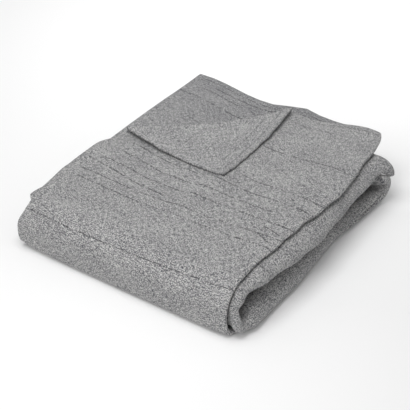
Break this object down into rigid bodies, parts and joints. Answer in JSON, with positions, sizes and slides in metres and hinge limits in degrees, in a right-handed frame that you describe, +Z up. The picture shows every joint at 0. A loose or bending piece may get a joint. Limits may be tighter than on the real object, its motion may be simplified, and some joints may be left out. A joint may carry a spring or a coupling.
{
  "type": "folded throw blanket",
  "caption": "Woven throw blanket folded in four, then folded over lengthwise into a flat stack, with one corner of the top ply turned back.",
  "frame": {"origin": "middle of the underside of the folded stack", "axes": "+X along the front fold to the right, +Y to the back, +Z up"},
  "size_m": [0.3748, 0.4324, 0.0835],
  "materials": {
    "woven_cotton": "matte grey melange plain weave"
  },
  "bodies": {
    "root": {"throw": "woven_cotton"}
  },
  "joints": []
}
